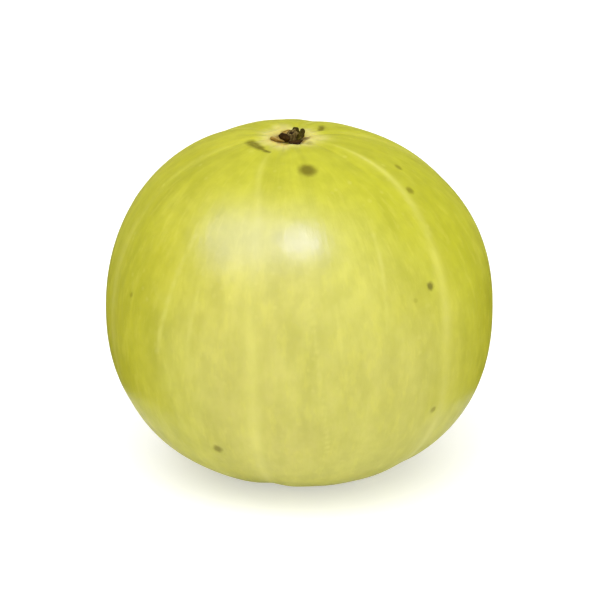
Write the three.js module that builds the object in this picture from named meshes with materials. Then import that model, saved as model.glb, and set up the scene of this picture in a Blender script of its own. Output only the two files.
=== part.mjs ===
// Indian gooseberry (amla): one whole ripe fruit standing on its blossom end.
//
// Millimetres, +Z up through the stem end. The origin is the centre of the flat resting spot.
// A bearing is an angle round the fruit in degrees, 0 facing -Y and growing towards +X.
//
// Nodes: the fruit, the stub of its stalk, and the six dried sepals round the stub. Neighbours
// that touch on the real fruit keep a small gap here, so that every node is a solid of its own.

import * as THREE from "three";
import { mergeVertices } from "three/addons/utils/BufferGeometryUtils.js";

// ---- Driving dimensions ----

const FRUIT = {
  radius: 20, // at the equator
  equatorHeight: 17.7, // height of the widest ring above the resting plane
  crownRise: 19, // from the widest ring to the crown, before the hollow is taken off
  upperFullness: 2.16, // superellipse exponents: 2 is an ellipse, more is boxier
  lowerFullness: 2.27,
  crownDrift: { x: -1.05, y: -0.8 }, // how far the stem end lies off the axis
  wobble: 0.12, // three-sided unevenness of the girth
  bearings: 72, // facets round the fruit
};

const HOLLOW = { depth: 0.7, radius: 2.6 }; // the stem-end hollow that the calyx sits in

const RESTING_SPOT = { radius: 4.5, dimpleRadius: 1.7, dimpleDepth: 0.4 };

// The six seams of the fruit. They grow unevenly, so each has its own bearing.
const FURROW_BEARINGS = [-75, -15.5, 50.5, 108, 166, 226];
const FURROW = {
  width: 8, // degrees, from the seam to where the furrow has faded to a third
  depthAbove: 0.1, // from the equator to the stem end
  depthAtBelly: 0.34, // near the blossom end, fading up to the equator
  fadeRadius: 3, // the furrows fade out inside this radius
};

const GAP = 0.3; // between pieces that touch on the real fruit

const STUB = { footRadius: 0.66, tipRadius: 0.58, height: 0.7, cupDepth: 0.22, facets: 24 };
const STUB_RIPPLE = { lobes: 3, depth: 0.07 };

const SEPAL = { footRadius: 1.1, footWidth: 0.56, width: 1.0, thickness: 0.24 };
const SEPALS = [
  { bearing: 24, length: 1.0, lift: 34 },
  { bearing: 82, length: 0.95, lift: 28 },
  { bearing: 140, length: 1.05, lift: 46 },
  { bearing: 199, length: 1.0, lift: 42 },
  { bearing: 262, length: 1.05, lift: 32 },
  { bearing: 322, length: 1.0, lift: 22 },
];

const COLOURS = { skin: 0xd6d36c, stalk: 0x6b573a, sepal: 0x3a2a10 };

// ---- Outline of the fruit ----

/** Drop below a quadrant's own height at radius r, from 0 on the axis to 1 at the equator. */
function quadrantDrop(r, fullness) {
  return 1 - (1 - (r / FRUIT.radius) ** fullness) ** (1 / fullness);
}

/** Height of the crown at radius r: a superellipse quadrant with the hollow sunk into it. */
function crownHeight(r) {
  const dome = FRUIT.crownRise * (1 - quadrantDrop(r, FRUIT.upperFullness));
  const hollow = HOLLOW.depth * Math.exp(-((r / HOLLOW.radius) ** 2));
  return FRUIT.equatorHeight + dome - hollow;
}

/** Height of the belly at radius r: the lower quadrant, which meets z = 0 at the spot's edge. */
function bellyHeight(r) {
  const dropAtSpot = quadrantDrop(RESTING_SPOT.radius, FRUIT.lowerFullness);
  const depth = FRUIT.equatorHeight / (1 - dropAtSpot);
  return FRUIT.equatorHeight - depth * (1 - quadrantDrop(r, FRUIT.lowerFullness));
}

/** The outline from the blossom end to the stem end, both on the axis. */
function fruitOutline() {
  const { dimpleRadius, dimpleDepth, radius: spotRadius } = RESTING_SPOT;
  const outline = [
    new THREE.Vector2(0, dimpleDepth),
    new THREE.Vector2(dimpleRadius * 0.55, dimpleDepth * 0.7),
    new THREE.Vector2(dimpleRadius, 0),
    new THREE.Vector2((dimpleRadius + spotRadius) / 2, 0),
    new THREE.Vector2(spotRadius, 0),
  ];

  const quadrantRows = 14;
  const spotAngle = Math.asin(spotRadius / FRUIT.radius);
  for (let row = 1; row <= quadrantRows; row += 1) {
    const angle = THREE.MathUtils.lerp(spotAngle, Math.PI / 2, row / quadrantRows);
    const r = FRUIT.radius * Math.sin(angle);
    outline.push(new THREE.Vector2(r, bellyHeight(r)));
  }

  const shoulderRadius = 4.6;
  const shoulderAngle = Math.asin(shoulderRadius / FRUIT.radius);
  for (let row = 1; row <= quadrantRows; row += 1) {
    const angle = THREE.MathUtils.lerp(Math.PI / 2, shoulderAngle, row / quadrantRows);
    const r = FRUIT.radius * Math.sin(angle);
    outline.push(new THREE.Vector2(r, crownHeight(r)));
  }

  const hollowRows = 6;
  for (let row = 1; row < hollowRows; row += 1) {
    const r = shoulderRadius * (1 - row / hollowRows);
    outline.push(new THREE.Vector2(r, crownHeight(r)));
  }
  outline.push(new THREE.Vector2(0, crownHeight(0)));
  return outline;
}

// ---- Shape round the fruit ----

/** How much of a furrow runs at this bearing: 1 on a seam, fading to 0 on either side. */
function furrowAt(bearing) {
  let sum = 0;
  for (const seam of FURROW_BEARINGS) {
    const off = THREE.MathUtils.euclideanModulo(bearing - seam + 180, 360) - 180;
    sum += Math.exp(-((off / FURROW.width) ** 2));
  }
  return sum;
}

/** Furrow depth at radius r: shallow above, deeper towards the blossom end, none on the axis. */
function furrowDepth(r, isAbove) {
  const depthAtEnd = isAbove ? FURROW.depthAbove : FURROW.depthAtBelly;
  const depth = THREE.MathUtils.lerp(depthAtEnd, FURROW.depthAbove, r / FRUIT.radius);
  return depth * THREE.MathUtils.smoothstep(r, 0, FURROW.fadeRadius);
}

/**
 * Moves each point of the turned fruit: in towards its middle along the seams, out or in with
 * the three-sided wobble, and sideways with the drift of the crown. The resting spot stays flat.
 */
function growUneven(geometry) {
  const middle = new THREE.Vector3(0, 0, FRUIT.equatorHeight);
  const positions = geometry.getAttribute("position");
  const point = new THREE.Vector3();
  for (let i = 0; i < positions.count; i += 1) {
    point.fromBufferAttribute(positions, i);
    const onSpot = point.z < 1e-6;
    const r = Math.hypot(point.x, point.y);
    const bearing = THREE.MathUtils.radToDeg(Math.atan2(point.x, -point.y));
    const wobble = FRUIT.wobble * Math.cos(THREE.MathUtils.degToRad(3 * bearing + 40));
    const furrow = furrowAt(bearing) * furrowDepth(r, point.z > FRUIT.equatorHeight);
    const inward = furrow + wobble * (r / FRUIT.radius) ** 2;
    const towardsMiddle = middle.clone().sub(point).normalize();
    point.addScaledVector(towardsMiddle, inward);

    const rise = Math.max(0, point.z - FRUIT.equatorHeight) / FRUIT.crownRise;
    point.x += FRUIT.crownDrift.x * rise ** 3;
    point.y += FRUIT.crownDrift.y * rise ** 3;
    if (onSpot) {
      point.z = 0;
    }
    positions.setXYZ(i, point.x, point.y, point.z);
  }
  return geometry;
}

/** Joins the corners that a geometry repeats, so that its surface is closed. */
function weld(geometry) {
  geometry.deleteAttribute("normal");
  geometry.deleteAttribute("uv");
  const welded = mergeVertices(geometry, 1e-3);
  welded.computeVertexNormals();
  return welded;
}

/** A turned solid whose axis is Z; its outline runs from the bottom of the axis to the top. */
function turned(outline, facets) {
  return weld(new THREE.LatheGeometry(outline, facets).rotateX(Math.PI / 2));
}

function matt(colour, roughness) {
  return new THREE.MeshStandardMaterial({ color: colour, roughness, metalness: 0 });
}

// ---- The nodes ----

function makeFruit() {
  const geometry = growUneven(turned(fruitOutline(), FRUIT.bearings));
  const fruit = new THREE.Mesh(geometry, matt(COLOURS.skin, 0.35));
  fruit.name = "fruit";
  return fruit;
}

/** Height above the middle of the hollow at which a foot of this radius clears the skin. */
function clearHeight(footRadius) {
  return GAP + crownHeight(footRadius) - crownHeight(0);
}

/** The broken stalk: a short flared peg with a cupped top, slightly three-cornered. */
function makeStub() {
  const { footRadius, tipRadius, height, cupDepth, facets } = STUB;
  const outline = [
    new THREE.Vector2(0, 0),
    new THREE.Vector2(footRadius, 0),
    new THREE.Vector2(tipRadius, height * 0.5),
    new THREE.Vector2(tipRadius, height * 0.9),
    new THREE.Vector2(tipRadius * 0.75, height),
    new THREE.Vector2(tipRadius * 0.4, height - cupDepth),
    new THREE.Vector2(0, height - cupDepth),
  ];
  const geometry = turned(outline, facets);
  const positions = geometry.getAttribute("position");
  for (let i = 0; i < positions.count; i += 1) {
    const around = Math.atan2(positions.getY(i), positions.getX(i));
    const ripple = 1 - STUB_RIPPLE.depth * (1 + Math.cos(STUB_RIPPLE.lobes * around)) * 0.5;
    positions.setX(i, positions.getX(i) * ripple);
    positions.setY(i, positions.getY(i) * ripple);
  }
  const stub = new THREE.Mesh(geometry, matt(COLOURS.stalk, 0.9));
  stub.name = "stalk_stub";
  stub.position.z = clearHeight(footRadius);
  return stub;
}

/** One sepal: a blunt leaf shape along +Y, as thick as the dried blade, with its foot at y = 0. */
function sepalBlade(length) {
  const halfFoot = SEPAL.footWidth / 2;
  const halfWidth = SEPAL.width / 2;
  const leaf = new THREE.Shape();
  leaf.moveTo(-halfFoot, 0);
  leaf.lineTo(halfFoot, 0);
  leaf.bezierCurveTo(halfWidth, length * 0.3, halfWidth * 1.2, length, 0, length);
  leaf.bezierCurveTo(-halfWidth * 1.2, length, -halfWidth, length * 0.3, -halfFoot, 0);
  const blade = new THREE.ExtrudeGeometry(leaf, {
    depth: SEPAL.thickness,
    bevelEnabled: false,
    curveSegments: 8,
  });
  return weld(blade);
}

/** The ring of sepals, each turned to its bearing and lifted off the skin. */
function makeSepals() {
  return SEPALS.map(({ bearing, length, lift }, index) => {
    const sepal = new THREE.Mesh(sepalBlade(length), matt(COLOURS.sepal, 0.85));
    sepal.name = `sepal_${index + 1}`;
    sepal.position.y = SEPAL.footRadius;
    sepal.rotation.x = THREE.MathUtils.degToRad(lift);

    const turn = new THREE.Group();
    turn.rotation.z = THREE.MathUtils.degToRad(bearing - 180);
    turn.position.z = clearHeight(SEPAL.footRadius);
    turn.add(sepal);
    return turn;
  });
}

// ---- Assembly ----

const calyx = new THREE.Group();
calyx.position.set(FRUIT.crownDrift.x, FRUIT.crownDrift.y, crownHeight(0));
calyx.add(makeStub(), ...makeSepals());

const gooseberry = new THREE.Group();
gooseberry.add(makeFruit(), calyx);

export default gooseberry;
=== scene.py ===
"""A whole Indian gooseberry (amla), standing on its blossom end on a pale table.

The fruit's skin, the stub of its stalk and its six dried sepals are surfaces worked out here
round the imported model. Metres, +Z up through the stem end. A bearing is an angle round the
fruit, 0 facing -Y and growing towards +X. A latitude is an angle seen from the middle of the
fruit's widest ring, 90 degrees at the stem end and -90 at the blossom end.
"""

import math

import bpy
import numpy as np
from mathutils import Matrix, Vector


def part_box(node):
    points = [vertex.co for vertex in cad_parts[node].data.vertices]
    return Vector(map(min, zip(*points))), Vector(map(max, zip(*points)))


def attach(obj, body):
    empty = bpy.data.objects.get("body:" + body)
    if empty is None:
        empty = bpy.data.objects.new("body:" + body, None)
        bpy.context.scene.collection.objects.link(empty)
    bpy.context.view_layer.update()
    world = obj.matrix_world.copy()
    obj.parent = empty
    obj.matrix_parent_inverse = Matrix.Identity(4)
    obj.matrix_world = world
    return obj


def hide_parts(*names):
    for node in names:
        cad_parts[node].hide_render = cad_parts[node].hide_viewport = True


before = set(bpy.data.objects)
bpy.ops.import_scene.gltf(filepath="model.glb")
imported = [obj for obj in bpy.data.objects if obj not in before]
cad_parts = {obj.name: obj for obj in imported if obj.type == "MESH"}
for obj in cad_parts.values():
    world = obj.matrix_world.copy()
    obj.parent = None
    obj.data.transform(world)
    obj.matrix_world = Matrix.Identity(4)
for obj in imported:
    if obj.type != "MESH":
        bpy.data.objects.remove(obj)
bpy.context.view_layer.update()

MM = 0.001

# ---------------------------------------------------------------------------------------------
# Sizes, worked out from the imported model
# ---------------------------------------------------------------------------------------------

FRUIT_LOW, FRUIT_HIGH = (np.array(corner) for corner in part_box("fruit"))
STUB_LOW, STUB_HIGH = (np.array(corner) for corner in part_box("stalk_stub"))

RADIUS = (FRUIT_HIGH - FRUIT_LOW)[:2].mean() / 2
CROWN = FRUIT_HIGH[2]
EQUATOR = 0.487 * CROWN  # height of the widest ring
CROWN_RISE = 0.5226 * CROWN  # from the widest ring to the crown, before the hollow is sunk
UPPER_FULLNESS, LOWER_FULLNESS = 2.16, 2.27  # superellipse exponents, 2 is an ellipse
DRIFT = (STUB_LOW + STUB_HIGH)[:2] / 2  # how far the stem end lies off the axis

HOLLOW_DEPTH, HOLLOW_RADIUS = 0.7 * MM, 2.6 * MM
SPOT_RADIUS = 4.5 * MM  # of the flat resting spot
DIMPLE_DEPTH, DIMPLE_RADIUS = 0.4 * MM, 1.7 * MM

# Relief of the skin in millimetres, with the widths of furrow and crease in degrees
FURROW_DEPTH, FURROW_EXTRA_BELOW, FURROW_WIDTH = 0.10, 0.24, 8
CREASE_DEPTH, CREASE_EXTRA_AT_ENDS, CREASE_WIDTH = 0.01, 0.03, 2.4
WOBBLE = 0.12  # three-sided unevenness of the girth
COLLAR_HEIGHT, COLLAR_RADIUS, COLLAR_WIDTH = 0.13, 2.3, 0.42  # the ring round the calyx
FOLD_HEIGHT, FOLD_RADIUS, FOLD_WIDTH = 0.035, 3.3, 1.2  # the radial folds outside the collar

COLUMNS = 480  # mesh columns round the fruit
SPOT_ROWS, BELLY_ROWS, SHOULDER_ROWS, HOLLOW_ROWS = 17, 72, 66, 50
SHOULDER_RADIUS = 4.6 * MM  # inside it the mesh rows are evenly spaced by radius

# The six seams: bearing; how far the pale line lies off it below the widest ring and near the
# stem end, and the latitude where the second starts, all in degrees; and how pale the line is
# below and above the widest ring.
SEAMS = [
    (-75, 2, -3, 30, 0.5, 0.3),
    (-15.5, 1.5, -10, 45, 0.9, 0.45),
    (50.5, -3, 14, 20, 1.0, 0.8),
    (108, -2, 4, 30, 1.0, 0.6),
    (166, 2.5, -6, 40, 0.7, 0.9),
    (226, -1.5, 5, 25, 0.9, 0.7),
]

# Marks on the skin: bearing and latitude in degrees, width and depth in millimetres, and how
# strong the colour is. A dark mark is a dead brown point, and a stain is olive and soft.
DARK_MARKS = [
    (44.6, 21.5, 0.95, 0.08, 0.75),
    (140, 12, 0.72, 0.08, 0.9),
    (151, 15, 0.50, 0.05, 0.8),
    (203, -22, 0.76, 0.08, 0.9),
    (262, 34, 0.62, 0.06, 0.8),
    (96, -36, 0.60, 0.06, 0.8),
]
STAINS = [
    (12.4, 67, 1.95, 0.05, 1.0),
    (37.5, 19, 0.55, 0.02, 0.25),
    (62.6, 48.8, 0.95, 0.03, 0.7),
    (75, 56, 0.85, 0.03, 0.6),
    (44.2, -17, 0.75, 0.03, 0.6),
    (-28.2, -28.3, 1.10, 0.04, 0.8),
    (-60.5, 14.2, 0.65, 0.02, 0.45),
    (48, 82, 0.85, 0.02, 0.5),
    (121, 30, 0.95, 0.04, 0.8),
    (147, 8, 0.60, 0.03, 0.6),
    (176, -34, 0.85, 0.04, 0.7),
    (214, 41, 0.75, 0.03, 0.8),
    (238, -8, 0.60, 0.03, 0.6),
    (283, -20, 0.60, 0.03, 0.5),
]

# Scratches healed olive: bearing and latitude of either end, then width and depth in millimetres.
STREAKS = [
    ((-72, 77.3), (-60, 77.4), 1.10, 0.05),
    ((-60, 77.4), (-44, 77.0), 0.85, 0.04),
    ((-44, 77.0), (-27, 76.0), 0.36, 0.03),
    ((123.5, 78.7), (138, 75.6), 0.62, 0.03),
    ((168, 22), (172, 31), 0.45, 0.03),
]

# Pale veins and pinpricks under the skin: bearing and latitude of either end, then width in
# millimetres.
VEINS = [
    ((3, 23), (9, -26), 0.50),
    ((11, 21), (12.5, 4), 0.45),
    ((-40, 38), (-46, 2), 0.60),
    ((-33, 22), (-34.5, 8), 0.45),
    ((30, 40), (26, 12), 0.45),
    ((-30, 5.6), (-30, 4.4), 0.42),
    ((20, 15.4), (20, 14.6), 0.46),
    ((132, 34), (137, -4), 0.55),
    ((190, 12), (186, -24), 0.50),
    ((203, 44), (199, 20), 0.50),
    ((256, 26), (252, -12), 0.55),
]


# ---------------------------------------------------------------------------------------------
# Small tools
# ---------------------------------------------------------------------------------------------


def smoothstep(x, low, high):
    """0 below low, 1 above high, and a smooth S between."""
    t = np.clip((x - low) / (high - low), 0, 1)
    return t * t * (3 - 2 * t)


def bell(x, width):
    """A bell curve: 1 where x is 0, fading over the width."""
    return np.exp(-((x / width) ** 2))


def turn_between(a, b):
    """The angle from b to a, brought into the half turn either side of 0."""
    return (a - b + np.pi) % (2 * np.pi) - np.pi


def linear(red, green, blue):
    """A display colour, each part from 0 to 255, as the linear colour that a shader takes."""
    c = np.array([red, green, blue]) / 255
    value = np.where(c <= 0.04045, c / 12.92, ((c + 0.055) / 1.055) ** 2.4)
    return (*value.tolist(), 1.0)


def ringed_mesh(name, rings, **attributes):
    """A closed mesh of rings strung between two poles.

    rings is (rows, columns, 3). The first and the last row are each one point, the poles. Each
    other row is a closed ring, joined to the next by quads and to a pole by triangles. Seen
    from outside, columns run to the right where rows run up. An attribute is a value for each
    point of the grid.
    """
    rows, columns = rings.shape[:2]

    def to_points(grid):
        return np.concatenate([grid[:1, 0], grid[1:-1].reshape(-1, *grid.shape[2:]), grid[-1:, 0]])

    points = to_points(rings)
    index = 1 + np.arange((rows - 2) * columns).reshape(rows - 2, columns)
    after = np.roll(index, -1, axis=1)
    quads = np.stack([index[:-1], after[:-1], after[1:], index[1:]], axis=-1).reshape(-1, 4)
    last = np.full(columns, len(points) - 1)
    caps = np.concatenate(
        [
            np.stack([np.zeros(columns, int), after[0], index[0]], axis=-1),
            np.stack([last, index[-1], after[-1]], axis=-1),
        ]
    )
    corners = np.concatenate([quads.ravel(), caps.ravel()])
    starts = np.concatenate(
        [np.arange(len(quads)) * 4, len(quads) * 4 + np.arange(len(caps)) * 3]
    )

    mesh = bpy.data.meshes.new(name)
    mesh.vertices.add(len(points))
    mesh.vertices.foreach_set("co", points.astype(np.float32).ravel())
    mesh.loops.add(len(corners))
    mesh.loops.foreach_set("vertex_index", corners.astype(np.int32))
    mesh.polygons.add(len(starts))
    mesh.polygons.foreach_set("loop_start", starts.astype(np.int32))
    mesh.polygons.foreach_set("use_smooth", np.ones(len(starts), bool))
    mesh.update(calc_edges=True)
    mesh.validate()

    for key, grid in attributes.items():
        values = to_points(grid)
        kind, field = ("FLOAT_VECTOR", "vector") if values.ndim == 2 else ("FLOAT", "value")
        layer = mesh.attributes.new(key, kind, "POINT")
        layer.data.foreach_set(field, values.astype(np.float32).ravel())

    piece = bpy.data.objects.new(name, mesh)
    bpy.context.scene.collection.objects.link(piece)
    return piece


def stands_for(piece, node, material):
    """Puts the finish on a piece, which rides on the root in place of its CAD node."""
    piece.data.materials.append(material)
    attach(piece, "root")
    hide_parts(node)


# ---------------------------------------------------------------------------------------------
# Shape of the fruit
# ---------------------------------------------------------------------------------------------


def quadrant(r, fullness):
    """Height of a superellipse quadrant at radius r: 1 on the axis, 0 at the equator."""
    return np.clip(1 - (r / RADIUS) ** fullness, 0, 1) ** (1 / fullness)


def crown_height(r):
    """Upper outline: a quadrant rising from the equator, with a bell-shaped hollow sunk in it."""
    dome = CROWN_RISE * quadrant(r, UPPER_FULLNESS)
    return EQUATOR + dome - HOLLOW_DEPTH * bell(r, HOLLOW_RADIUS)


def belly_height(r):
    """Lower outline: a quadrant that would pass just below the table, softly held up by it.

    The soft hold is the mean of the height and of the root of its square plus a small square,
    so that the skin flattens on the table with no crease. The blossom dimple is half a cosine.
    """
    softness = 0.05 * MM
    depth = EQUATOR / quadrant(SPOT_RADIUS, LOWER_FULLNESS)
    free = EQUATOR - depth * quadrant(r, LOWER_FULLNESS)
    held = (free + np.sqrt(free**2 + softness**2)) / 2
    dimple = 0.5 + 0.5 * np.cos(np.pi * np.clip(r / DIMPLE_RADIUS, 0, 1))
    return held + DIMPLE_DEPTH * dimple


def outline():
    """Radius and height of each mesh row, from the blossom end's pole to the stem end's pole."""
    near_spot = np.linspace(0, SPOT_RADIUS, SPOT_ROWS)
    low_turn = np.linspace(math.asin(SPOT_RADIUS / RADIUS), np.pi / 2, BELLY_ROWS)
    high_turn = np.linspace(np.pi / 2, math.asin(SHOULDER_RADIUS / RADIUS), SHOULDER_ROWS)
    hollow = np.linspace(SHOULDER_RADIUS, 0, HOLLOW_ROWS)
    below = np.concatenate([near_spot[:-1], RADIUS * np.sin(low_turn)])
    above = np.concatenate([RADIUS * np.sin(high_turn[1:]), hollow[1:]])
    radii = np.concatenate([below, above])
    heights = np.concatenate([belly_height(below), crown_height(above)])
    return radii, heights


def seam_shape(bearing, width):
    """1 on each of the six seams, fading on either side as a bell of that width."""
    return sum(bell(turn_between(bearing, math.radians(seam[0])), width) for seam in SEAMS)


def pale_seams(bearing, latitude, width):
    """How pale the seams are there: a bell of that width round each line, times its paleness.

    The line wanders smoothly off the seam's bearing towards either end of the fruit, and its
    paleness goes smoothly from the one below the widest ring to the one above.
    """
    total = np.zeros_like(bearing)
    for middle, low_sway, high_sway, high_start, pale_below, pale_above in SEAMS:
        line = middle + low_sway * smoothstep(-latitude, -30, 0)
        line = line + high_sway * smoothstep(latitude, high_start, 75)
        paleness = pale_below + (pale_above - pale_below) * smoothstep(latitude, 5, 40)
        total += paleness * bell(turn_between(bearing, np.radians(line)), width)
    return total


def settle(bearing, r, z):
    """Skin points at a bearing, a radius and a height of the outline.

    Each point goes in towards the fruit's middle, or out from it: along the seams, a broad
    furrow that deepens towards the blossom end, with a fine crease in it; round the girth, a
    three-sided wobble and a few slow waves; round the calyx, a raised collar and faint radial
    folds. Then the crown drifts sideways by the cube of its rise, and what would lie under the
    table is flattened on it.
    """
    above = z > EQUATOR
    ends = 1 - r / RADIUS  # 0 at the widest ring, 1 at either pole
    furrow = FURROW_DEPTH + np.where(above, 0, FURROW_EXTRA_BELOW) * ends
    furrow = furrow * seam_shape(bearing, math.radians(FURROW_WIDTH))
    crease = CREASE_DEPTH + CREASE_EXTRA_AT_ENDS * ends**2
    crease = crease * seam_shape(bearing, math.radians(CREASE_WIDTH))
    wobble = WOBBLE * np.cos(3 * bearing + math.radians(40)) * (r / RADIUS) ** 2
    turn = z / RADIUS
    waves = 0.05 * np.sin(2 * bearing + 2.3 * turn + 0.6) * np.sin(3.1 * turn)
    waves += 0.035 * np.sin(5 * bearing - 1.7 * turn) * np.cos(4.3 * turn + 1)
    waves += 0.018 * np.sin(11 * bearing + 5 * turn + 2 * np.sin(2 * bearing))
    collar = COLLAR_HEIGHT * bell(r / MM - COLLAR_RADIUS, COLLAR_WIDTH)
    collar = collar * (1 + 0.35 * np.sin(5 * bearing + 1))
    folds = FOLD_HEIGHT * bell(r / MM - FOLD_RADIUS, FOLD_WIDTH)
    folds = folds * np.cos(13 * bearing + 1.5 * np.sin(3 * bearing))
    fade = smoothstep(r, 0, 3 * MM)  # the poles stay smooth
    inward = (furrow + crease + waves) * fade + wobble - (collar + folds) * above
    inward = inward * MM

    x, y = r * np.sin(bearing), -r * np.cos(bearing)
    reach = np.sqrt(r**2 + (EQUATOR - z) ** 2)
    keep = 1 - inward / reach
    x, y, z = x * keep, y * keep, EQUATOR + (z - EQUATOR) * keep
    rise = np.clip(z - EQUATOR, 0, None) / CROWN_RISE
    x, y = x + DRIFT[0] * rise**3, y + DRIFT[1] * rise**3
    return np.stack([x, y, np.maximum(z, 0)], axis=-1)


def skin_point(bearing, latitude):
    """The skin's point at a bearing and a latitude, both in degrees, before any mark on it."""
    radii, heights = outline()
    latitudes = np.degrees(np.arctan2(heights - EQUATOR, radii))
    rows = np.arange(len(radii))
    row = np.interp(latitude, latitudes, rows)
    r, z = np.interp(row, rows, radii), np.interp(row, rows, heights)
    return settle(np.radians(bearing), np.array(r), np.array(z))


def from_streak(grid, start, end):
    """Distance of each point from a streak: the least one from 24 skin points along it."""
    shares = np.linspace(0, 1, 24)[:, None]
    way = np.array(start) * (1 - shares) + np.array(end) * shares
    return np.min([np.linalg.norm(grid - skin_point(*spot), axis=-1) for spot in way], axis=0)


def pit(away):
    """A bell-shaped pit of depth 1, with a low rim at the distance of one width."""
    return bell(away, 0.55) - 0.35 * bell(away - 1, 0.4)


def sink_marks(grid):
    """Sinks each mark and each streak into the skin as a pit, towards the fruit's middle."""
    inward = np.array([0, 0, EQUATOR]) - grid
    inward /= np.linalg.norm(inward, axis=-1, keepdims=True)
    pits = np.zeros(grid.shape[:2])
    for bearing, latitude, width, depth, _ in DARK_MARKS + STAINS:
        away = np.linalg.norm(grid - skin_point(bearing, latitude), axis=-1)
        pits += depth * pit(away / (width * MM))
    for start, end, width, depth in STREAKS:
        pits += depth * pit(from_streak(grid, start, end) / (width * MM))
    return grid + inward * (pits * MM)[..., None]


def streak_share(grid, streaks):
    """1 along the middle of each streak, fading to 0 past its edge."""
    share = np.zeros(grid.shape[:2])
    for start, end, width, *_ in streaks:
        away = from_streak(grid, start, end) / (width * MM / 2)
        share = np.maximum(share, smoothstep(-away, -1.5, -0.4))
    return share


def make_fruit():
    """The skin: every outline row swept round all bearings, settled, then marked.

    The finish takes these values from it: how near a seam is, closely and broadly; a flow that
    stays the same from pole to pole along a bearing, which the fibres under the skin follow;
    how far a point faces up on the right, where painted shade makes the skin more green, and
    how far it faces the front or the back, where a painted sheen makes it paler; the olive
    streaks and the pale veins; and three uneven rings round the calyx: a brown scar, a pale
    callus outside it, and a blush between them. In front on the left the scar is half as
    strong, and the blush is strongest.
    """
    radii, heights = outline()
    r, z = radii[:, None], heights[:, None]
    around = np.linspace(0, 2 * np.pi, COLUMNS, endpoint=False)[None, :] + 0 * r
    plain = settle(around, r, z)
    grid = sink_marks(plain)

    run = np.arctan2(z - EQUATOR, r)
    latitude = np.degrees(run)
    flow = np.stack([np.sin(around), -np.cos(around), run + 0 * around], axis=-1)

    out = grid - np.array([0, 0, EQUATOR])
    out /= np.linalg.norm(out, axis=-1, keepdims=True)
    # Painted shade: the skin is made more green where it faces up on the right
    green_shade_side = (0.47, -0.12, 0.87)
    # Painted sheen: the skin is made paler where it faces the front, and less so where it faces the
    # back
    front_side = (0.11, -0.99, -0.04)
    back_side = (0.36, 0.93, 0.06)
    front_cheek = smoothstep(out @ np.array(front_side), 0.4, 1.0)
    back_cheek = smoothstep(out @ np.array(back_side), 0.5, 0.97)

    upper = z > EQUATOR
    uneven = 1 + 0.10 * np.sin(3 * around + 0.5) + 0.07 * np.sin(7 * around)
    uneven += 0.04 * np.sin(17 * around)
    ring = r * uneven / MM
    front_left = bell(turn_between(around, math.radians(-25)), math.radians(45))
    line_width, glow_width = math.radians(2.1), math.radians(6)
    return ringed_mesh(
        "gooseberry_skin",
        grid,
        seam=pale_seams(around, latitude, line_width) * smoothstep(r, 3 * MM, 8 * MM),
        seam_glow=pale_seams(around, latitude, glow_width) * smoothstep(r, 3 * MM, 9 * MM),
        flow=flow,
        fibrous=0.3 + 0.7 * smoothstep(r + 0 * around, 6 * MM, 17 * MM),
        # painted shade, more green above on the right
        greener=smoothstep(out @ np.array(green_shade_side), 0.3, 0.95),
        # painted sheen, paler in front and behind
        cheek=front_cheek + 0.7 * back_cheek,
        streak=streak_share(plain, STREAKS),
        vein=streak_share(plain, VEINS),
        scar=smoothstep(-ring, -1.9, -1.5) * (1 - 0.5 * front_left) * upper,
        callus=bell(ring - 2.4, 1.0) * upper,
        blush=bell(ring - 1.8, 0.6) * (0.35 + 0.65 * front_left) * upper,
    )


# ---------------------------------------------------------------------------------------------
# Stalk stub and sepals
# ---------------------------------------------------------------------------------------------

SEAT = np.array([*DRIFT, crown_height(0)])  # bottom of the hollow, where the stalk grows
STUB_RADIUS = (STUB_HIGH - STUB_LOW)[:2].mean() / 2
STUB_TOP = STUB_HIGH[2] - SEAT[2]

# The stub's outline from its foot, under the skin, over the torn rim and into the cup: radius
# and height, as shares of the stub's own.
STUB_OUTLINE = [
    (0, -0.1), (0.6, -0.1), (1.12, -0.08), (1.16, 0.0), (1.0, 0.1), (0.9, 0.28),
    (0.87, 0.5), (0.9, 0.72), (0.95, 0.88), (0.93, 0.97), (0.8, 1.0), (0.62, 0.9),
    (0.5, 0.68), (0.4, 0.56), (0.22, 0.6), (0, 0.62),
]


def make_stub():
    """The broken stalk: an outline carried round an axis that leans to the right.

    The outline flares at the foot, narrows to a waist, and ends in a torn rim with a pithy
    cup. Round the axis the radius carries fine upright ribs and a slight oval, and the rim's
    height rises and falls with three unlike waves. The foot starts a little below the skin.
    """
    rows, columns = 61, 96
    lean, tallest = 0.4, 0.9 * STUB_TOP
    corners = np.array(STUB_OUTLINE)
    steps = np.linspace(0, len(corners) - 1, rows)
    reach, height = (np.interp(steps, np.arange(len(corners)), side)[:, None] for side in corners.T)
    around = np.linspace(0, 2 * np.pi, columns, endpoint=False)[None, :]

    ribs = 0.045 * np.sin(9 * around + 0.7 * np.sin(2 * around)) + 0.025 * np.sin(17 * around + 2)
    oval = 0.08 * np.cos(2 * around + 0.4)
    r = STUB_RADIUS * reach * (1 + (ribs + oval) * smoothstep(height, 0.05, 0.5))
    torn = 0.13 * np.sin(2 * around + 1) + 0.08 * np.sin(5 * around)
    torn += 0.05 * np.sin(11 * around + 1)
    z = tallest * height * (1 + torn * smoothstep(height, 0.45, 0.95))
    x = r * np.sin(around) + lean * z
    grid = SEAT + np.stack([x, -r * np.cos(around), z + 0 * r], axis=-1)
    cup = np.linspace(0, 1, rows)[:, None] + 0 * around
    return ringed_mesh("dry_stalk", grid, cup=cup)


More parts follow.
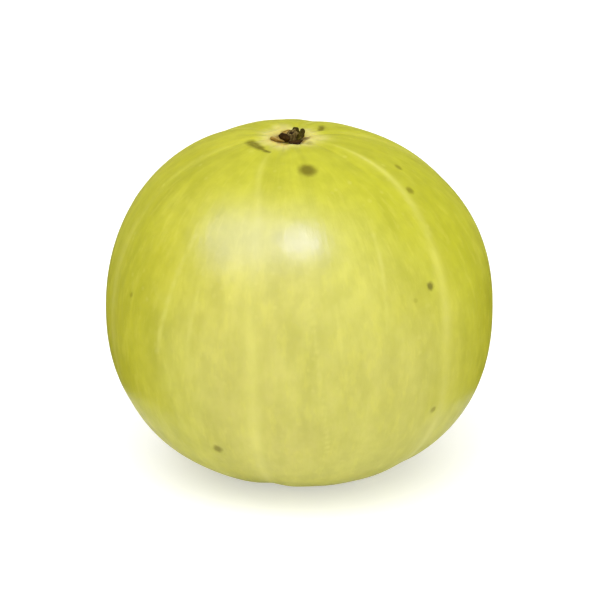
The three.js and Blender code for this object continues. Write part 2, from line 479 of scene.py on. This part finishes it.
def make_sepal(number, bearing, length, width, lift, curl, twist):
    """One dried sepal: a lens-shaped section carried along a curling midrib.

    The midrib starts beside the stalk, climbs at the lift angle and turns by the curl over its
    length, ever faster, and the blade twists round it. The width swells and closes along an
    oval blunter than an ellipse. Across the blade the edges roll up with the square of the
    distance from the midrib, and three veins and a few wrinkles ripple it. It thins towards
    its tip. All angles are in degrees, lengths in millimetres.
    """
    rows, columns = 44, 40
    half_thickness, thinning, vein_height, wrinkle_height = 0.17, 0.04, 0.020, 0.045
    foot_height = 0.14
    s = np.linspace(0, 1, rows)[:, None]
    q = np.linspace(0, 2 * np.pi, columns, endpoint=False)[None, :]
    angle = np.radians(lift) + np.radians(curl) * s**1.5
    step = length * MM / (rows - 1)
    out = np.cumsum(np.cos(angle), axis=0) * step
    up = np.cumsum(np.sin(angle), axis=0) * step

    taper = np.clip(1 - (1.85 * s - 0.85) ** 2, 0, 1) ** 0.4 * smoothstep(s, -0.02, 0.03)
    half = width * MM / 2 * taper
    across = np.cos(q)
    phase = 1.7 * number
    side = half * across * (1 + 0.10 * np.sin(9 * s + phase) * np.abs(across))
    roll = 0.32 * half * across**2 * (0.4 + s)
    veins = vein_height * np.cos(3 * np.pi * across) * taper
    wrinkles = wrinkle_height * np.sin(13 * s + 2.2 * across + phase) * s * taper
    thick = (half_thickness - thinning * s) * np.sin(q) * taper**0.7
    bow = roll + (veins + wrinkles + thick) * MM
    turn = np.radians(twist) * s

    foot = STUB_RADIUS * 1.1
    ahead = foot + out - np.sin(angle) * bow
    rise = up + np.cos(angle) * bow + side * np.sin(turn) + foot_height * MM
    sideways = side * np.cos(turn)
    b = np.radians(bearing)
    grid = SEAT + np.stack(
        [
            ahead * np.sin(b) + sideways * np.cos(b),
            -ahead * np.cos(b) + sideways * np.sin(b),
            rise + 0 * side,
        ],
        axis=-1,
    )
    grid[0], grid[-1] = grid[0].mean(axis=0), grid[-1].mean(axis=0)
    along = s + 0 * q
    return ringed_mesh(f"dried_sepal_{number}", grid, along=along, across=across + 0 * s)


# ---------------------------------------------------------------------------------------------
# Finishes
# ---------------------------------------------------------------------------------------------


class Finish:
    """A material under construction: most methods add nodes and give back the last one's output."""

    def __init__(self, name):
        self.material = bpy.data.materials.new(name)
        self.material.use_nodes = True
        self.tree = self.material.node_tree
        self.shader = self.tree.nodes["Principled BSDF"]
        self.place = self.add("ShaderNodeTexCoord").outputs["Object"]

    def add(self, kind, inputs=(), **settings):
        """A node with its settings made and its inputs set, or joined where one is an output."""
        node = self.tree.nodes.new(kind)
        for key, value in settings.items():
            setattr(node, key, value)
        for key, value in dict(inputs).items():
            self.feed(node.inputs[key], value)
        return node

    def feed(self, socket, value):
        """Joins an output to a socket, or sets the socket's own value."""
        if isinstance(value, bpy.types.NodeSocket):
            self.tree.links.new(value, socket)
        else:
            socket.default_value = value

    def math(self, operation, *values):
        """One sum on numbers."""
        node = self.add("ShaderNodeMath", operation=operation)
        for socket, value in zip(node.inputs, values):
            self.feed(socket, value)
        return node.outputs[0]

    def vector(self, operation, *values):
        """One sum on vectors, which gives a vector."""
        node = self.add("ShaderNodeVectorMath", operation=operation)
        for socket, value in zip(node.inputs, values):
            self.feed(socket, value)
        return node.outputs["Vector"]

    def distance(self, a, b):
        """How far apart two points are."""
        node = self.add("ShaderNodeVectorMath", {0: a, 1: b}, operation="DISTANCE")
        return node.outputs["Value"]

    def times(self, value, factor):
        """A value, or a share, made smaller or larger by a factor."""
        return self.math("MULTIPLY", value, factor)

    def value(self, name):
        """A value that the mesh carries, such as how near a seam is."""
        return self.add("ShaderNodeAttribute", attribute_name=name).outputs["Fac"]

    def arrow(self, name):
        """A vector that the mesh carries."""
        return self.add("ShaderNodeAttribute", attribute_name=name).outputs["Vector"]

    def scaled(self, vector, scale):
        """The vector stretched along each axis, in features for each metre."""
        node = self.add("ShaderNodeMapping", {"Vector": vector, "Scale": scale})
        return node.outputs["Vector"]

    def noise(self, vector, scale=1.0, detail=3.0, roughness=0.5, colour=False):
        """Cloudy noise from 0 to 1, most of it between 0.3 and 0.7, or three such as a colour."""
        inputs = {"Vector": vector, "Scale": scale, "Detail": detail, "Roughness": roughness}
        node = self.add("ShaderNodeTexNoise", inputs)
        return node.outputs["Color" if colour else "Fac"]

    def span(self, value, low, high, to_low=0.0, to_high=1.0):
        """The value's stretch from low to high, mapped smoothly onto another stretch."""
        inputs = {"From Min": low, "From Max": high, "To Min": to_low, "To Max": to_high}
        inputs["Value"] = value
        node = self.add("ShaderNodeMapRange", inputs, interpolation_type="SMOOTHSTEP")
        return node.outputs["Result"]

    def mix(self, share, a, b, blend="MIX"):
        """Colour a, with a share of colour b laid over it."""
        node = self.add("ShaderNodeMix", data_type="RGBA", blend_type=blend)
        for socket, value in ((node.inputs[0], share), (node.inputs[6], a), (node.inputs[7], b)):
            self.feed(socket, value)
        return node.outputs[2]

    def bump(self, height, depth, under=None):
        """A normal from a height between 0 and 1, worth that depth in metres."""
        node = self.add("ShaderNodeBump", {"Height": height, "Distance": depth})
        if under is not None:
            self.feed(node.inputs["Normal"], under)
        return node.outputs["Normal"]

    def set(self, **inputs):
        """Sets the shader's own inputs; an underscore stands for a space."""
        for key, value in inputs.items():
            self.feed(self.shader.inputs[key.replace("_", " ")], value)


# Colours of the skin, from the flesh to what lies over it
FLESH = (linear(175, 173, 45), linear(185, 182, 53))
# Painted sheen: the pale colour laid over the flesh in front and behind
PAINTED_SHEEN = linear(194, 187, 114)
SHADE = linear(168, 174, 36)
# Painted shade: the more green colour laid over the flesh above on the right
PAINTED_GREEN_SHADE = linear(178, 180, 34)
FLECK = linear(214, 209, 92)
THREAD = linear(160, 160, 34)
SEAM, SEAM_GLOW = linear(216, 212, 116), linear(204, 200, 90)
PORE = linear(212, 208, 110)
CALLUS, SCAR, BLUSH = linear(214, 204, 126), linear(112, 88, 36), linear(206, 172, 98)
STAIN, DEAD_POINT = linear(114, 106, 0), linear(80, 71, 4)

# Factors that the flesh is multiplied by, where it is duller and where it is paler
DULLER, PALER = (0.95, 0.95, 0.91, 1), (1.05, 1.05, 1.09, 1)

DRY_GLOSS = 0.05  # specular level of the stalk and the sepals


def mark_mask(f, marks, place):
    """Each mark's strength inside it, fading softly across its edge."""
    mask = 0.0
    for bearing, latitude, width, _, strength in marks:
        reach = width * MM / 2
        away = f.distance(place, tuple(skin_point(bearing, latitude)))
        mask = f.math("MAXIMUM", mask, f.span(away, 1.4 * reach, 0.4 * reach, 0, strength))
    return mask


def ragged_place(f, amount):
    """Object coordinates shaken by fine noise, up to half the amount each way, in metres."""
    jitter = f.noise(f.scaled(f.place, (1500, 1500, 1500)), detail=2, colour=True)
    shaken = f.vector("MULTIPLY_ADD", jitter, (amount,) * 3, f.place)
    return f.vector("SUBTRACT", shaken, (amount / 2,) * 3)


def mottled_flesh(f, flow):
    """Flesh shining through: mottled, paler in front and behind with a painted sheen, more green
    above on the right with painted shade, in soft bands from pole to pole and in small blots."""
    mottle = f.noise(f.scaled(f.place, (210, 210, 120)), detail=4, roughness=0.6)
    flesh = f.mix(f.span(mottle, 0.35, 0.68), *FLESH)
    # Painted sheen: paler in front and behind
    flesh = f.mix(f.times(f.value("cheek"), 0.6), flesh, PAINTED_SHEEN)
    broad = f.noise(f.scaled(f.place, (55, 55, 40)), detail=2)
    flesh = f.mix(f.span(broad, 0.42, 0.62, 0, 0.15), flesh, SHADE)
    # Painted shade: more green above on the right
    flesh = f.mix(f.times(f.value("greener"), 0.45), flesh, PAINTED_GREEN_SHADE)
    for vector in (f.scaled(flow, (6, 6, 2.2)), f.scaled(f.place, (700, 700, 450))):
        share = f.span(f.noise(vector, detail=2), 0.3, 0.7)
        flesh = f.mix(1.0, flesh, f.mix(share, DULLER, PALER), blend="MULTIPLY")
    return flesh


def skin_finish():
    """Waxy pale green skin over mottled flesh: pale flecks and dull threads from pole to pole,
    pale seams and veins, faint pores, the rings round the calyx, olive stains and dead points."""
    f = Finish("gooseberry_skin")
    flow = f.arrow("flow")
    flesh = mottled_flesh(f, flow)

    fibrous = f.value("fibrous")
    flecks = f.noise(f.scaled(flow, (19, 19, 7)), detail=3, roughness=0.6)
    flesh = f.mix(f.times(f.span(flecks, 0.50, 0.68, 0, 0.19), fibrous), flesh, FLECK)
    fine = f.noise(f.scaled(flow, (40, 40, 5)), detail=2)
    flesh = f.mix(f.times(f.span(fine, 0.46, 0.66, 0, 0.05), fibrous), flesh, THREAD)

    patchy = f.span(f.noise(f.scaled(f.place, (90, 90, 160)), detail=3), 0.3, 0.7, 0.4, 1)
    seam = f.times(f.value("seam"), f.times(patchy, 0.55))
    vein = f.times(f.value("vein"), f.times(patchy, 0.3))
    flesh = f.mix(f.times(f.value("seam_glow"), 0.16), flesh, SEAM_GLOW)
    flesh = f.mix(f.math("MAXIMUM", seam, vein), flesh, SEAM)

    cells = f.add("ShaderNodeTexVoronoi", {"Vector": f.place, "Scale": 620}, feature="F1")
    some = f.span(f.noise(f.scaled(f.place, (160, 160, 160)), detail=2), 0.45, 0.65, 0, 0.22)
    flesh = f.mix(f.times(f.span(cells.outputs["Distance"], 0.22, 0.06), some), flesh, PORE)
    flesh = f.mix(f.times(f.value("callus"), 0.7), flesh, CALLUS)
    flesh = f.mix(f.value("scar"), flesh, SCAR)
    flesh = f.mix(f.times(f.value("blush"), 0.7), flesh, BLUSH)

    ragged = ragged_place(f, 0.36 * MM)
    frayed = f.span(f.noise(f.scaled(f.place, (2400, 2400, 2400)), detail=2), 0.3, 0.6, 0.75, 1)
    streaks = f.times(f.value("streak"), frayed)
    stains = f.math("MAXIMUM", mark_mask(f, STAINS, ragged), streaks)
    points = mark_mask(f, DARK_MARKS, ragged)
    flesh = f.mix(f.times(stains, 0.96), flesh, STAIN)
    flesh = f.mix(f.times(points, 0.95), flesh, DEAD_POINT)

    f.set(Base_Color=flesh)
    f.set(Subsurface_Weight=0.8, Subsurface_Scale=0.0015)
    f.set(Subsurface_Radius=(1.0, 0.9, 0.3))
    dead = f.math("MAXIMUM", points, f.times(stains, 0.4))
    wax = f.span(f.noise(f.scaled(f.place, (400, 400, 400))), 0.3, 0.7, 0.32, 0.38)
    f.set(Roughness=f.math("MAXIMUM", wax, f.times(dead, 0.8)))
    f.set(IOR=1.42, Specular_IOR_Level=0.3)

    grain = f.noise(f.scaled(f.place, (2600, 2600, 2600)), detail=2)
    dimples = f.noise(f.scaled(f.place, (700, 700, 700)), detail=1)
    relief = f.bump(grain, 0.006 * MM)
    relief = f.bump(f.times(flecks, fibrous), 0.035 * MM, under=relief)
    f.set(Normal=f.bump(dimples, 0.012 * MM, under=relief))
    return f.material


def stalk_finish():
    """Dry grey-brown stalk: upright fibres, a darker foot and a nearly black pithy cup."""
    f = Finish("dry_stalk")
    grain = f.noise(f.scaled(f.place, (6000, 6000, 1500)), detail=4, roughness=0.65)
    cup = f.value("cup")
    wood = f.mix(f.span(grain, 0.35, 0.65), linear(86, 70, 30), linear(128, 110, 62))
    wood = f.mix(f.span(cup, 0.70, 0.80), wood, linear(38, 24, 6))
    wood = f.mix(f.span(cup, 0.35, 0.18), wood, linear(92, 74, 30))
    f.set(Base_Color=wood, Roughness=f.span(grain, 0.3, 0.7, 0.75, 0.95))
    f.set(Specular_IOR_Level=DRY_GLOSS, Normal=f.bump(grain, 0.08 * MM))
    return f.material


def sepal_finish(name, blade, tip):
    """Dried papery sepal: a mottled blade, with the tip's colour at its tip and its edges."""
    f = Finish(name)
    grain = f.noise(f.scaled(f.place, (5200, 5200, 5200)), detail=4, roughness=0.6)
    edge = f.math("POWER", f.math("ABSOLUTE", f.value("across")), 3.0)
    colour = f.mix(f.span(grain, 0.35, 0.65), blade, tip)
    colour = f.mix(f.span(f.value("along"), 0.45, 0.95), colour, tip)
    colour = f.mix(f.times(edge, 0.6), colour, tip)
    f.set(Base_Color=colour, Roughness=f.span(grain, 0.3, 0.7, 0.7, 0.9))
    f.set(Specular_IOR_Level=DRY_GLOSS, Normal=f.bump(grain, 0.06 * MM))
    return f.material


def table_finish():
    """Matt white light table, with the faintest uneven tone.

    It glows a little of itself, and so fills the shadow. The fruit gets only a part of the glow.
    """
    f = Finish("white_table")
    glow_for_fruit, glow_for_camera = 0.1, 0.45
    tone = f.noise(f.scaled(f.place, (14, 14, 14)), detail=2)
    white = f.mix(f.span(tone, 0.3, 0.7), (0.74, 0.74, 0.73, 1), (0.76, 0.76, 0.75, 1))
    f.set(Base_Color=white, Roughness=0.7)
    seen = f.add("ShaderNodeLightPath").outputs["Is Camera Ray"]
    f.set(Emission_Color=(1, 1, 0.99, 1))
    f.set(Emission_Strength=f.span(seen, 0, 1, glow_for_fruit, glow_for_camera))
    return f.material


# ---------------------------------------------------------------------------------------------
# Table, light and camera
# ---------------------------------------------------------------------------------------------


def make_table():
    """A wide flat disc under the fruit: one face with a few hundred sides."""
    rim, sides = 3.0, 256
    around = np.linspace(0, 2 * np.pi, sides, endpoint=False)
    points = np.stack([rim * np.cos(around), rim * np.sin(around), 0 * around], axis=-1)
    mesh = bpy.data.meshes.new("table")
    mesh.from_pydata(points.tolist(), [], [tuple(range(sides))])
    table = bpy.data.objects.new("table_floor", mesh)
    table.data.materials.append(table_finish())
    bpy.context.scene.collection.objects.link(table)


def aim(thing, target):
    """Turns a lamp or camera so that it looks at the target."""
    thing.rotation_euler = (target - thing.location).to_track_quat("-Z", "Y").to_euler()


def way_to(bearing, elevation):
    """The direction at a bearing and an elevation, both in degrees."""
    b, e = math.radians(bearing), math.radians(elevation)
    return Vector((math.sin(b) * math.cos(e), -math.cos(b) * math.cos(e), math.sin(e)))


LAMP_DISTANCE = 2.0


def make_lamp(
    name, bearing, elevation, spread, brightness, flesh=True, gloss=True, tint=(1, 1, 1)
):
    """A round softbox facing the fruit.

    The spread is half the angle that it fills as the fruit sees it, in degrees, and its power
    is the brightness times its area times pi. Without flesh it puts only a highlight on
    the skin, and without gloss it lights the flesh and puts no highlight on it.
    """
    radius = LAMP_DISTANCE * math.tan(math.radians(spread))
    lamp = bpy.data.lights.new(name, "AREA")
    lamp.shape, lamp.size = "DISK", 2 * radius
    lamp.energy = brightness * (math.pi * radius) ** 2
    lamp.color = tint
    holder = bpy.data.objects.new(name, lamp)
    target = Vector((0, 0, EQUATOR))
    holder.location = target + way_to(bearing, elevation) * LAMP_DISTANCE
    holder.visible_diffuse, holder.visible_glossy = flesh, gloss
    aim(holder, target)
    bpy.context.scene.collection.objects.link(holder)


def make_flag():
    """A card bent round behind the fruit: an arc raised from the table.

    It is tallest behind, and falls with the cosine of the bearing towards its two ends. Only
    gloss sees it. It keeps the skin's edges from mirroring the bright table, and it glows dark
    olive below and the colour of ripe fruit above, with a smooth step between.
    """
    away = 1.35 * RADIUS
    turns = np.radians(np.linspace(58, 302, 81))
    arc = np.stack([np.sin(turns), -np.cos(turns), 0 * turns], axis=-1) * away
    rise = np.zeros_like(arc)
    rise[:, 2] = (0.95 - 0.35 * np.cos(turns)) * CROWN
    points = np.concatenate([arc, arc + rise])
    first = np.arange(len(arc) - 1)
    faces = np.stack([first, first + 1, first + 1 + len(arc), first + len(arc)], axis=-1)
    mesh = bpy.data.meshes.new("flag")
    mesh.from_pydata(points.tolist(), [], faces.tolist())

    f = Finish("dark_flag")
    dark_olive, ripe_fruit = (0.10, 0.10, 0.01, 1), (0.50, 0.50, 0.14, 1)
    height = f.add("ShaderNodeSeparateXYZ", {"Vector": f.place}).outputs["Z"]
    share = f.span(height, 0.40 * CROWN, 0.72 * CROWN)
    f.set(Base_Color=(0, 0, 0, 1), Roughness=1.0, Specular_IOR_Level=0.0)
    f.set(Emission_Color=f.mix(share, dark_olive, ripe_fruit), Emission_Strength=1.0)
    mesh.materials.append(f.material)
    flag = bpy.data.objects.new("dark_flag", mesh)
    flag.visible_camera = flag.visible_diffuse = flag.visible_shadow = False
    flag.visible_transmission = flag.visible_volume_scatter = False
    bpy.context.scene.collection.objects.link(flag)


def light_studio():
    """A wide softbox before the fruit, fills from the left and from behind, two small cool lamps
    for gloss, and a soft dome.

    The dome fades from its brightest, overhead, by the cube of the cosine of the angle from
    there. The camera itself sees plain white past the table's edge.
    """
    make_lamp("front_softbox", 10.5, 46, 45, 1.89)
    make_lamp("left_fill", -80, 58, 22, 1.15)
    make_lamp("back_fill", 170, 38, 30, 0.55, gloss=False)
    make_lamp("key_glint", 1.2, 60.8, 7.0, 122, flesh=False, tint=(0.45, 0.45, 1.0))
    make_lamp("left_glint", -57, 50, 20, 15.5, flesh=False, tint=(0.6, 0.6, 1.0))
    make_flag()

    world = bpy.data.worlds.new("pale_studio")
    bpy.context.scene.world = world
    world.use_nodes = True
    nodes, links = world.node_tree.nodes, world.node_tree.links

    def step(operation, a, b):
        node = nodes.new("ShaderNodeMath")
        node.operation = operation
        links.new(a, node.inputs[0])
        node.inputs[1].default_value = b
        return node.outputs[0]

    facing = nodes.new("ShaderNodeVectorMath")
    facing.operation = "DOT_PRODUCT"
    links.new(nodes.new("ShaderNodeTexCoord").outputs["Generated"], facing.inputs[0])
    facing.inputs[1].default_value = way_to(0, 90)
    dome_fade, dome_top, dome_floor = 3.0, 0.5, 0.22
    glow = step("POWER", step("MAXIMUM", facing.outputs["Value"], 0.0), dome_fade)
    glow = step("ADD", step("MULTIPLY", glow, dome_top), dome_floor)
    seen = nodes.new("ShaderNodeMix")
    links.new(nodes.new("ShaderNodeLightPath").outputs["Is Camera Ray"], seen.inputs[0])
    links.new(glow, seen.inputs[2])
    seen.inputs[3].default_value = 1.0
    links.new(seen.outputs[0], nodes["Background"].inputs["Color"])


def make_camera():
    """A long lens looking slightly down on the fruit's front, at half its height."""
    elevation, distance = 22, 0.5
    lens = bpy.data.cameras.new("camera")
    lens.sensor_width, lens.lens = 36, 290
    lens.clip_start, lens.clip_end = 0.01, 20
    camera = bpy.data.objects.new("camera", lens)
    middle = Vector((0, 0, CROWN / 2))
    camera.location = middle + way_to(0, elevation) * distance
    aim(camera, middle)
    bpy.context.scene.collection.objects.link(camera)
    bpy.context.scene.camera = camera


# ---------------------------------------------------------------------------------------------
# The scene
# ---------------------------------------------------------------------------------------------

# Colours of a sepal's blade and of its tip
DARK = (linear(74, 50, 4), linear(44, 28, 0))
TAN = (linear(200, 174, 104), linear(146, 118, 48))
OLIVE = (linear(96, 86, 8), linear(56, 47, 0))

# bearing, length, width, lift, curl, twist, and the colours of its blade and tip
SEPALS = [
    (24, 1.75, 1.30, 6, 12, 8, DARK),
    (92, 1.25, 1.20, 30, 44, 48, OLIVE),
    (136, 1.10, 1.20, 46, 50, 10, OLIVE),
    (200, 0.80, 1.10, 26, 40, -16, TAN),
    (296, 1.50, 1.40, 8, 20, 10, TAN),
    (320, 1.05, 1.45, 50, 60, 4, DARK),
]

stands_for(make_fruit(), "fruit", skin_finish())
stands_for(make_stub(), "stalk_stub", stalk_finish())
for number, (*shape, colours) in enumerate(SEPALS, start=1):
    sepal = make_sepal(number, *shape)
    stands_for(sepal, f"sepal_{number}", sepal_finish(f"sepal_{number}", *colours))

make_table()
light_studio()
make_camera()
bpy.context.scene.view_settings.view_transform = "Standard"
